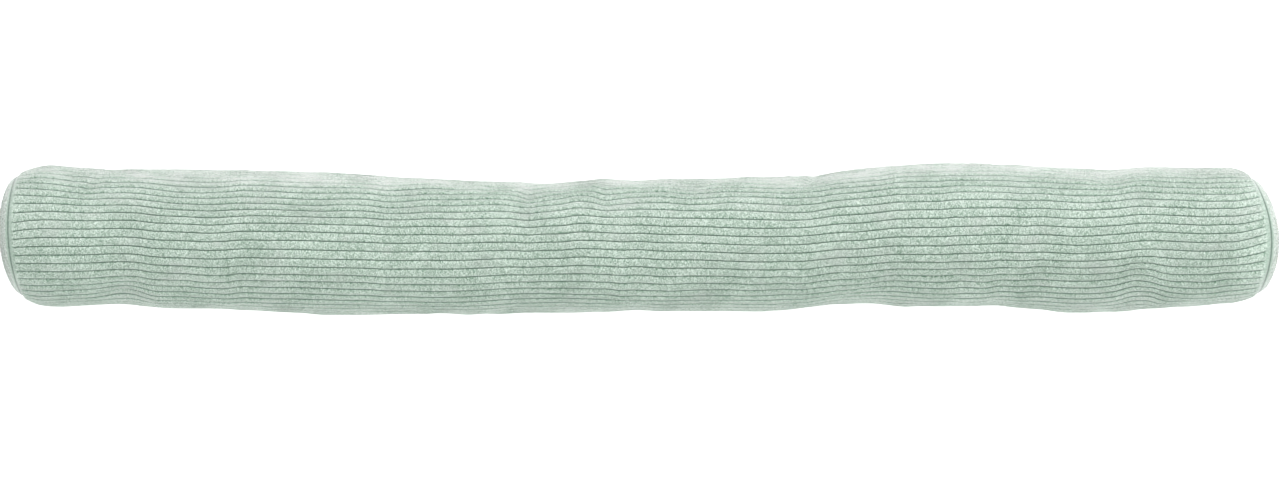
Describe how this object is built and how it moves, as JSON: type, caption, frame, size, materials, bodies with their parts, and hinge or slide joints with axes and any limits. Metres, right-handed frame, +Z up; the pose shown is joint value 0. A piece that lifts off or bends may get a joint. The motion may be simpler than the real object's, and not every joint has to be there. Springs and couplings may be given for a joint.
{
  "type": "draught excluder",
  "caption": "Long round filled cushion of wide-ribbed pale green corduroy with flat round ends, laid along the foot of a door to stop draughts.",
  "frame": {"origin": "on the floor, under the middle of the cushion's bounding box", "axes": "+X along the cushion, +Y across it towards the flank that is at the picture's top edge, +Z up"},
  "size_m": [0.9, 0.1067, 0.0957],
  "materials": {
    "corduroy": "pale sage green wide-wale corduroy with a short soft pile, matt"
  },
  "bodies": {
    "root": {"tube": "corduroy", "end_disc_left": "corduroy", "end_disc_right": "corduroy"}
  },
  "joints": []
}
